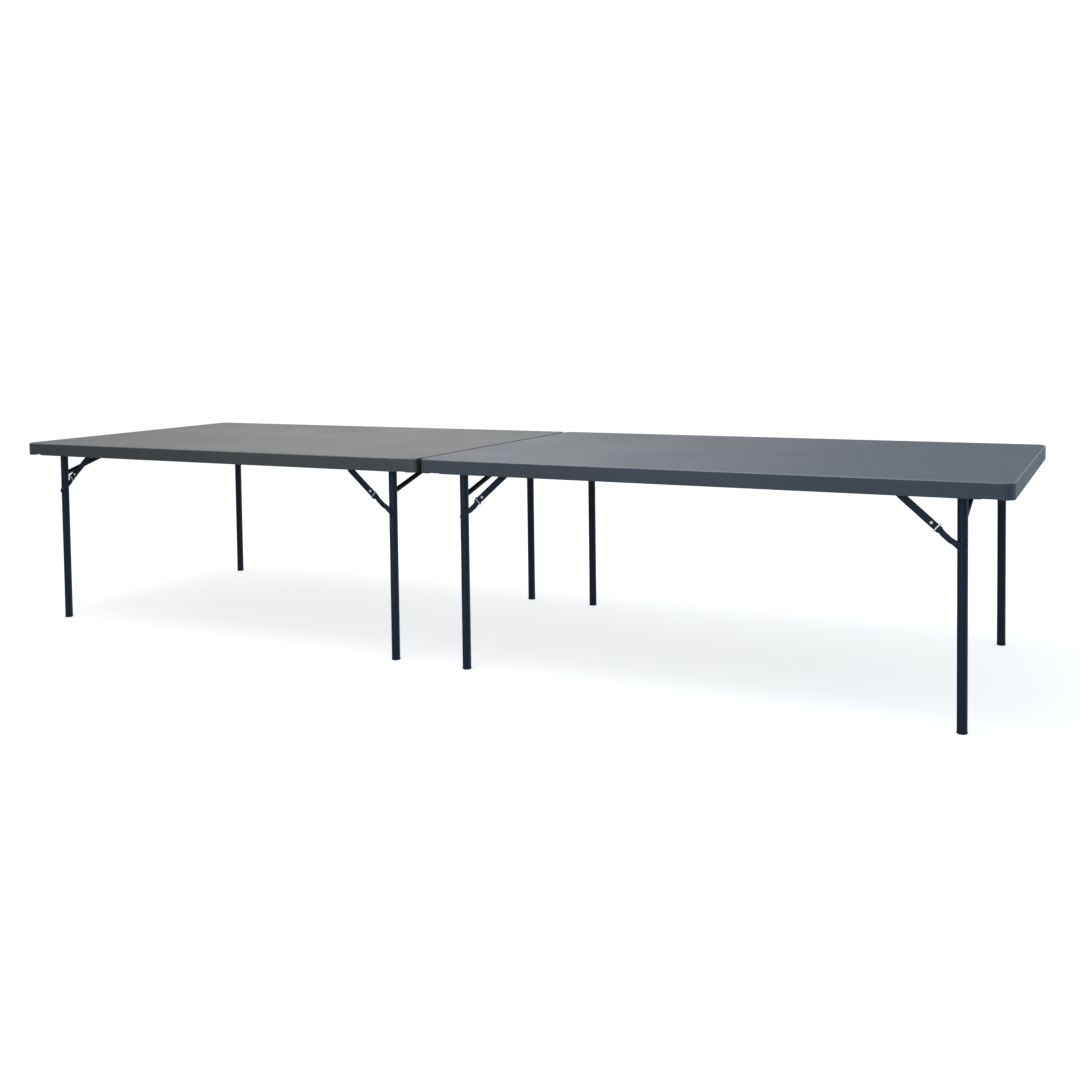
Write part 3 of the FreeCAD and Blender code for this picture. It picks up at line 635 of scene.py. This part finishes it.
floor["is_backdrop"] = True

# How bright the sky is low behind the tables, from the far left round to the far right.
BACK_GLOW = ((-0.95, 0.60), (-0.70, 0.85), (-0.54, 1.50), (-0.30, 0.95), (-0.10, 0.52), (0.15, 0.60))
world = bpy.data.worlds.new("studio_sky")
bpy.context.scene.world = world
world.use_nodes = True
sky = world.node_tree
sky_place = sky.nodes.new("ShaderNodeSeparateXYZ")
sky.links.new(sky.nodes.new("ShaderNodeTexCoord").outputs["Generated"], sky_place.inputs[0])
glow = sky.nodes.new("ShaderNodeFloatCurve")
curve = glow.mapping.curves[0]
for step, (across, bright) in enumerate(BACK_GLOW):
    spot = ((across + 1) / 2, bright / 2)
    if step < 2:
        curve.points[step].location = spot
    else:
        curve.points.new(*spot)
glow.mapping.update()
sky.links.new(remap(sky, sky_place.outputs["X"], -1.0, 1.0, 0.0, 1.0), glow.inputs["Value"])
lifted = remap(sky, sky_place.outputs["Z"], -0.05, 0.05, 0.12, 2.0)
right_card = remap(sky, sky_place.outputs["X"], -0.04, 0.10, 0.0, RIGHT_CARD_GLOW)
behind = math_node(sky, "MAXIMUM", math_node(sky, "MULTIPLY", glow.outputs["Value"], lifted), right_card)
in_front = remap(sky, sky_place.outputs["Z"], -0.08, 0.0, FRONT_FLOOR_GLOW, FRONT_GLOW)
low = sky.nodes.new("ShaderNodeMix")
sky.links.new(remap(sky, sky_place.outputs["Y"], -0.2, 0.3, 0.0, 1.0), low.inputs[0])
sky.links.new(in_front, low.inputs[2])
sky.links.new(behind, low.inputs[3])
rising = remap(sky, sky_place.outputs["Z"], 0.35, 0.8, 0.0, 1.0)
whole = sky.nodes.new("ShaderNodeMix")
sky.links.new(rising, whole.inputs[0])
sky.links.new(low.outputs[0], whole.inputs[2])
whole.inputs[3].default_value = ZENITH_GLOW
is_seen = sky.nodes.new("ShaderNodeLightPath").outputs["Is Camera Ray"]
level = sky.nodes.new("ShaderNodeMix")
sky.links.new(is_seen, level.inputs[0])
sky.links.new(whole.outputs[0], level.inputs[2])
level.inputs[3].default_value = 1.0
sky.links.new(level.outputs[0], sky.nodes["Background"].inputs["Strength"])
tint = blend_colours(sky, remap(sky, sky_place.outputs["X"], -0.50, -0.10, 0.0, 1.0), WARM_SKY, COOL_SKY)
sky.links.new(blend_colours(sky, is_seen, tint, (1.0, 1.0, 1.0)), sky.nodes["Background"].inputs["Color"])


def softbox(name, place, target, size, power, colour, spread=180.0):
    """A flat lamp on a stand, turned to a target and hidden from the camera."""
    lamp = bpy.data.lights.new(name, "AREA")
    lamp.shape = "RECTANGLE"
    lamp.size, lamp.size_y = size
    lamp.energy = power
    lamp.color = colour
    lamp.spread = math.radians(spread)
    stand = bpy.data.objects.new(name, lamp)
    stand.location = place
    stand.rotation_euler = (Vector(target) - Vector(place)).to_track_quat("-Z", "Y").to_euler()
    bpy.context.scene.collection.objects.link(stand)
    stand.visible_camera = False
    return stand


softbox("overhead_softbox", place=(-0.5, -0.8, 4.5), target=(0.0, 0.0, 0.7), size=(5.0, 1.6),
        power=170.0, colour=(1.0, 0.97, 0.92))
# The two fills light without showing in the tops, and the low glint shows only in upright metal.
warm_fill = softbox("warm_softbox", place=(-0.3, -5.0, 2.0), target=(-0.1, 0.0, 0.5), size=(1.6, 1.6),
                    power=11.0, colour=(1.0, 0.98, 0.95), spread=62.0)
cool_fill = softbox("cool_softbox", place=(2.8, -4.6, 1.8), target=(1.5, 0.0, 0.5), size=(1.2, 1.6),
                    power=17.0, colour=(0.36, 0.72, 1.0), spread=90.0)
glint = softbox("glint_softbox", place=(0.8, -6.0, 0.38), target=(0.6, 0.0, 0.5), size=(2.6, 0.7),
                power=26.0, colour=(0.78, 0.90, 1.0))
for fill in (warm_fill, cool_fill):
    fill.visible_glossy = False
glint.visible_diffuse = False

# The camera stands front right, a little above the table, with its frame lowered.
CAMERA_PLACE = (2.24818, -4.11834, 1.16260)
YAW, PITCH, ROLL = -0.466, -0.045, -0.013
LENS_MM, SENSOR_MM, LOWERED = 39.843, 36.0, -0.1394
aim = Vector((math.sin(YAW) * math.cos(PITCH), math.cos(YAW) * math.cos(PITCH), math.sin(PITCH)))
flat_right = Vector((math.cos(YAW), -math.sin(YAW), 0.0))
flat_up = flat_right.cross(aim)
right = flat_right * math.cos(ROLL) + flat_up * math.sin(ROLL)
up = flat_up * math.cos(ROLL) - flat_right * math.sin(ROLL)
lens = bpy.data.cameras.new("studio_camera")
lens.lens = LENS_MM
lens.sensor_width = SENSOR_MM
lens.shift_y = LOWERED
camera = bpy.data.objects.new("studio_camera", lens)
turn = Matrix((right, up, -aim)).transposed()
camera.matrix_world = Matrix.Translation(CAMERA_PLACE) @ turn.to_4x4()
bpy.context.scene.collection.objects.link(camera)
bpy.context.scene.camera = camera
bpy.context.scene.view_settings.view_transform = "Standard"

low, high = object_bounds()
